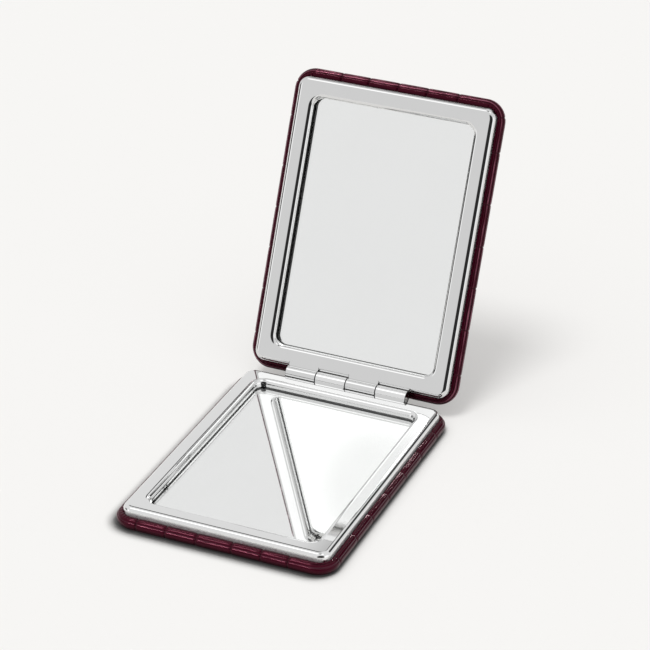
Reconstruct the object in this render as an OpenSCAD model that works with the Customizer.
// Compact mirror: two leather covered halves with polished frames, joined by a rolled knuckle hinge.
// The origin is the centre of the base's underside, +Z up, with the hinge at the back (+Y).
// Each half is drawn face up about the hinge axis: z = 0 is the axis height and y runs to the front.

/* [Case] */
// Width of each leather covered half
case_w = 62; // [56:0.5:80]
// Length of each half, from the back edge to the front edge
case_l = 85.1; // [76:0.1:110]
// Thickness of each half, from its outer face to the frame's flat face
half_t = 5.5; // [5.2:0.1:8]
// Corner radius of the case in plan
case_r = 6; // [5:0.1:8]
// Radius of the case's rounded edge
edge_r = 1.7; // [1.4:0.05:1.75]
// Thickness of the leather
leather_t = 0.8; // [0.5:0.05:1]

/* [Frame] */
// Case margin that shows on each side of the polished frame
side_margin = 2; // [1.9:0.05:3]
// Case margin that shows in front of the frame
front_margin = 2.45; // [1.9:0.05:3]
// Case margin that shows behind the frame
back_margin = 2.15; // [1.85:0.05:2.4]
// Width of the frame's rail, from its skirt to its window
rail_w = 4; // [3.8:0.05:7]
// Step from the case's plan corner radius to the frame's
corner_step = 3; // [2.6:0.1:3.3]
// Thickness of the frame's sheet metal
sheet_t = 0.5; // [0.35:0.05:0.6]
// Radius of the bend from the frame's face to its outer skirt
skirt_bend_r = 1.4; // [0.9:0.1:1.5]
// Plan corner radius of the window
window_r = 4; // [3:0.1:8]
// Radius of the bend from the frame's face into the window
lip_bend_r = 1.4; // [1:0.05:1.5]

/* [Mirror] */
// Depth of the glass below the frame's face
glass_depth = 1.95; // [1.6:0.05:2.3]
// Thickness of the mirror glass
glass_t = 1.2; // [0.8:0.1:1.5]
// Width of glass held under the frame on each side
glass_lap = 1.3; // [0.8:0.1:1.5]
// Thickness of the adhesive pad behind the glass
pad_t = 0.3; // [0.2:0.05:0.5]
// Margin from the glass edge to the adhesive pad
pad_margin = 3; // [1:0.5:10]

/* [Hinge] */
// Angle that the lid stands open at rest
open_angle = 112.9; // [0:0.1:155]
// Distance from the case's back edge forward to the hinge axis
axis_inset = 0.6; // [0.3:0.05:0.6]
// Gap between the two frames when the case is shut
shut_gap = 0.2; // [0.1:0.05:0.5]
// Outer radius of the rolled knuckles
knuckle_r = 1.9; // [1.5:0.05:1.9]
// Length of one knuckle with its share of the gap
knuckle_pitch = 9; // [5:0.5:11]
// Gap between neighbouring knuckles
knuckle_gap = 0.2; // [0.1:0.05:0.4]
// Radius of the hinge pin
pin_r = 1.25; // [0.8:0.05:1.3]
// Radial clearance of the pin in the lid's knuckles
pin_fit = 0.05; // [0.02:0.01:0.1]
// Height of the domed head on each end of the pin
pin_head_h = 0.25; // [0.1:0.05:0.5]
// Radial gap between a knuckle and the relief cut for it in the other frame
relief_gap = 0.25; // [0.15:0.05:0.3]

/* [Catch magnets] */
// Length of each catch magnet
magnet_l = 10; // [6:0.5:14]
// Width of each catch magnet
magnet_w = 1.8; // [1.2:0.1:2]
// Thickness of each catch magnet
magnet_t = 1.2; // [0.8:0.1:1.5]
// Distance from the centre line to the middle of each magnet
magnet_x = 12; // [8:0.5:18]

/* [Hidden] */
// Clearance round the glass, and between the moulded tray and the frame
seat_fit = 0.1;
// Clearance between the leather's turned edge and the frame's skirt
turn_fit = 0.05;
// Clearance between the tray's rib and the underside of the frame's face
rib_fit = 0.05;
// Width of the open seam where a knuckle's rolled end meets its leaf
seam_w = 0.12;
// Overrun of every cut
over = 1;
$fn = 64;

// Heights below the hinge axis
face_z = -shut_gap / 2;
glass_z = face_z - glass_depth;
tray_floor_z = glass_z - glass_t - pad_t;
case_floor_z = face_z - half_t;
turn_z = case_floor_z + 2 * edge_r;
ledge_z = turn_z - leather_t;
skirt_flat_z = face_z - skirt_bend_r;

// The frame and its window in plan
frame_w = case_w - 2 * side_margin;
frame_l = case_l - front_margin - back_margin;
frame_r = case_r - corner_step;
window_w = frame_w - 2 * rail_w;
window_l = frame_l - 2 * rail_w;

// Places of the hinge axis and of the plan centres
axis_y = case_l / 2 - axis_inset;
axis_z = half_t + shut_gap / 2;
case_cy = -axis_y;
frame_back_y = axis_inset - back_margin;
frame_cy = frame_back_y - frame_l / 2;

// Plan sizes worked out from the ones above
opening_w = window_w - 2 * lip_bend_r;
opening_l = window_l - 2 * lip_bend_r;
opening_r = window_r - lip_bend_r;
glass_w = opening_w + 2 * glass_lap;
glass_l = opening_l + 2 * glass_lap;
glass_r = opening_r + glass_lap;
flat_w = frame_w - 2 * skirt_bend_r;
flat_l = frame_l - 2 * skirt_bend_r;
flat_r = frame_r - skirt_bend_r;
inside = sheet_t + seat_fit;
magnet_y = frame_cy - (flat_l + glass_l + 2 * seat_fit) / 4;

// Knuckles count from the left: the lid has the first and third, the base the others
KNUCKLES = 4;
LID_KNUCKLES = [0, 2];
BASE_KNUCKLES = [1, 3];
hinge_l = KNUCKLES * knuckle_pitch;
function knuckle_x(i) = i * knuckle_pitch - hinge_l / 2;

// A rectangle with round corners, centred
module round_rect(w, l, r) {
    for (sx = [-1, 1], sy = [-1, 1])
        translate([sx * (w / 2 - r), sy * (l / 2 - r)]) circle(r);
    square([w - 2 * r, l], center = true);
    square([w, l - 2 * r], center = true);
}

// Carries the child profile round a rounded rectangle; the profile's x = 0 lies on the outline
module ring(w, l, r) {
    for (s = [0, 1]) rotate(180 * s) {
        translate([w / 2, 0, 0]) rotate([90, 0, 0])
            linear_extrude(l - 2 * r, center = true) children();
        translate([0, l / 2, 0]) rotate([90, 0, 90])
            linear_extrude(w - 2 * r, center = true) children();
        translate([w / 2 - r, l / 2 - r, 0]) rotate_extrude(angle = 90)
            translate([r, 0]) children();
        translate([r - w / 2, l / 2 - r, 0]) rotate(90) rotate_extrude(angle = 90)
            translate([r, 0]) children();
    }
}

// A flat plate with a full round edge, its underside at z = 0
module soft_plate(w, l, r, edge) {
    ring(w, l, r) translate([-edge, edge]) circle(edge);
    linear_extrude(2 * edge) round_rect(w - 2 * edge, l - 2 * edge, r - edge);
}

// Profile of sheet metal that bends from flat to straight down; its outer face is at x = 0
module bent_edge(bend, drop) {
    difference() {
        translate([-bend, -bend]) circle(bend);
        translate([-bend, -bend]) circle(bend - sheet_t);
        translate([-2 * bend - over, -2 * bend - over]) square([bend + over, 2 * bend + 2 * over]);
        translate([-2 * bend, -2 * bend - over]) square([2 * bend + over, bend + over]);
    }
    translate([-sheet_t, -drop]) square([sheet_t, drop - bend]);
}

// A bar of radius r along the hinge, as long as knuckle i with its share of the gap
module knuckle_bar(i, r) {
    translate([knuckle_x(i), 0, 0]) rotate([0, 90, 0]) cylinder(r = r, h = knuckle_pitch);
}

// The rolled knuckle and the leaf that joins it to the frame's face
module knuckle(i) {
    len = knuckle_pitch - knuckle_gap;
    translate([knuckle_x(i) + knuckle_gap / 2, 0, 0]) {
        difference() {
            rotate([0, 90, 0]) cylinder(r = knuckle_r, h = len);
            translate([-over, -2 * knuckle_r, face_z - sheet_t - seam_w])
                cube([len + 2 * over, 2 * knuckle_r, seam_w]);
        }
        translate([0, frame_back_y - skirt_bend_r, face_z - sheet_t])
            cube([len, skirt_bend_r - frame_back_y - pin_r - pin_fit, sheet_t]);
    }
}

// The stamped frame: flat face, outer skirt, window lip and the knuckles listed in mine
module frame(mine, theirs, bore_r) {
    difference() {
        union() {
            difference() {
                translate([0, frame_cy, face_z]) {
                    translate([0, 0, -sheet_t]) linear_extrude(sheet_t) difference() {
                        round_rect(flat_w, flat_l, flat_r);
                        round_rect(window_w, window_l, window_r);
                    }
                    ring(frame_w, frame_l, frame_r) bent_edge(skirt_bend_r, face_z - ledge_z);
                    ring(opening_w, opening_l, opening_r) mirror([1, 0]) bent_edge(lip_bend_r, glass_depth);
                }
                for (i = theirs) knuckle_bar(i, knuckle_r + relief_gap);
                for (i = mine) translate([knuckle_x(i), frame_back_y - skirt_bend_r, ledge_z - over])
                    cube([knuckle_pitch, skirt_bend_r + over, over + face_z - ledge_z + over]);
            }
            for (i = mine) knuckle(i);
        }
        translate([-hinge_l / 2 - over, 0, 0]) rotate([0, 90, 0])
            cylinder(r = bore_r, h = hinge_l + 2 * over);
    }
}

// The silvered glass, face up under the frame's window
module mirror_glass() {
    translate([0, frame_cy, glass_z - glass_t]) linear_extrude(glass_t)
        round_rect(glass_w, glass_l, glass_r);
}

// The adhesive foam pad that holds the glass in the tray
module mirror_pad() {
    translate([0, frame_cy, tray_floor_z]) linear_extrude(pad_t)
        round_rect(glass_w - 2 * pad_margin, glass_l - 2 * pad_margin, glass_r);
}

// One block at each magnet's place, grown by fit in plan
module magnet_blocks(fit, h) {
    for (s = [-1, 1]) translate([s * magnet_x, magnet_y, face_z - sheet_t - rib_fit - h / 2])
        cube([magnet_l + 2 * fit, magnet_w + 2 * fit, h], center = true);
}

// The moulded tray: rounded rim, ledge for the frame, stepped rib inside the frame, glass pocket
module tray() {
    rim_r = edge_r - leather_t;
    rib_w = frame_w - 2 * inside;
    rib_l = frame_l - 2 * inside;
    difference() {
        union() {
            translate([0, case_cy, case_floor_z + leather_t])
                soft_plate(case_w - 2 * leather_t, case_l - 2 * leather_t, case_r - leather_t, rim_r);
            translate([0, frame_cy, ledge_z - leather_t]) {
                linear_extrude(skirt_flat_z - ledge_z + leather_t)
                    round_rect(rib_w, rib_l, frame_r - inside);
                linear_extrude(face_z - sheet_t - rib_fit - ledge_z + leather_t)
                    round_rect(flat_w, flat_l, flat_r);
            }
        }
        translate([0, frame_cy, tray_floor_z]) linear_extrude(half_t)
            round_rect(glass_w + 2 * seat_fit, glass_l + 2 * seat_fit, glass_r + seat_fit);
        magnet_blocks(seat_fit, magnet_t);
        translate([0, 0, over / 2]) magnet_blocks(seat_fit, over);
    }
}

// The leather: round the outside of the tray, over its rim and turned in to the frame
module cover() {
    difference() {
        translate([0, case_cy, case_floor_z]) soft_plate(case_w, case_l, case_r, edge_r);
        translate([0, case_cy, case_floor_z + leather_t])
            soft_plate(case_w - 2 * leather_t, case_l - 2 * leather_t, case_r - leather_t,
                edge_r - leather_t);
        translate([0, frame_cy, ledge_z - leather_t / 2]) linear_extrude(half_t)
            round_rect(frame_w + 2 * turn_fit, frame_l + 2 * turn_fit, frame_r + turn_fit);
    }
}

// The pair of catch magnets, seated in the front of the tray's rib
module magnets() {
    magnet_blocks(0, magnet_t);
}

// The hinge pin, pressed into the base's knuckles, with a low domed head on each end
module pin() {
    head_r = (pin_r * pin_r + pin_head_h * pin_head_h) / (2 * pin_head_h);
    rotate([0, 90, 0]) {
        cylinder(r = pin_r, h = hinge_l - knuckle_gap, center = true);
        for (s = [0, 1]) mirror([0, 0, s]) translate([0, 0, hinge_l / 2 - knuckle_gap / 2])
            rotate_extrude() intersection() {
                translate([0, pin_head_h - head_r]) circle(head_r);
                square([pin_r, pin_head_h]);
            }
    }
}

// Places a half on the table as the base
module as_base() {
    translate([0, axis_y, axis_z]) children();
}

// Turns a half face down and swings it open as the lid
module as_lid() {
    translate([0, axis_y, axis_z]) rotate([-open_angle, 0, 0]) mirror([0, 0, 1]) children();
}

module base_frame() { color("gainsboro") as_base() frame(BASE_KNUCKLES, LID_KNUCKLES, pin_r); }
module base_mirror() { color("azure") as_base() mirror_glass(); }
module base_mirror_pad() { color("white") as_base() mirror_pad(); }
module base_tray() { color("dimgray") as_base() tray(); }
module base_cover() { color([0.23, 0.05, 0.11]) as_base() cover(); }
module base_magnets() { color("silver") as_base() magnets(); }
module hinge_pin() { color("silver") as_base() pin(); }
module lid_frame() { color("gainsboro") as_lid() frame(LID_KNUCKLES, BASE_KNUCKLES, pin_r + pin_fit); }
module lid_mirror() { color("azure") as_lid() mirror_glass(); }
module lid_mirror_pad() { color("white") as_lid() mirror_pad(); }
module lid_tray() { color("dimgray") as_lid() tray(); }
module lid_cover() { color([0.23, 0.05, 0.11]) as_lid() cover(); }
module lid_magnets() { color("silver") as_lid() magnets(); }

base_frame();
base_mirror();
base_mirror_pad();
base_tray();
base_cover();
base_magnets();
hinge_pin();
lid_frame();
lid_mirror();
lid_mirror_pad();
lid_tray();
lid_cover();
lid_magnets();
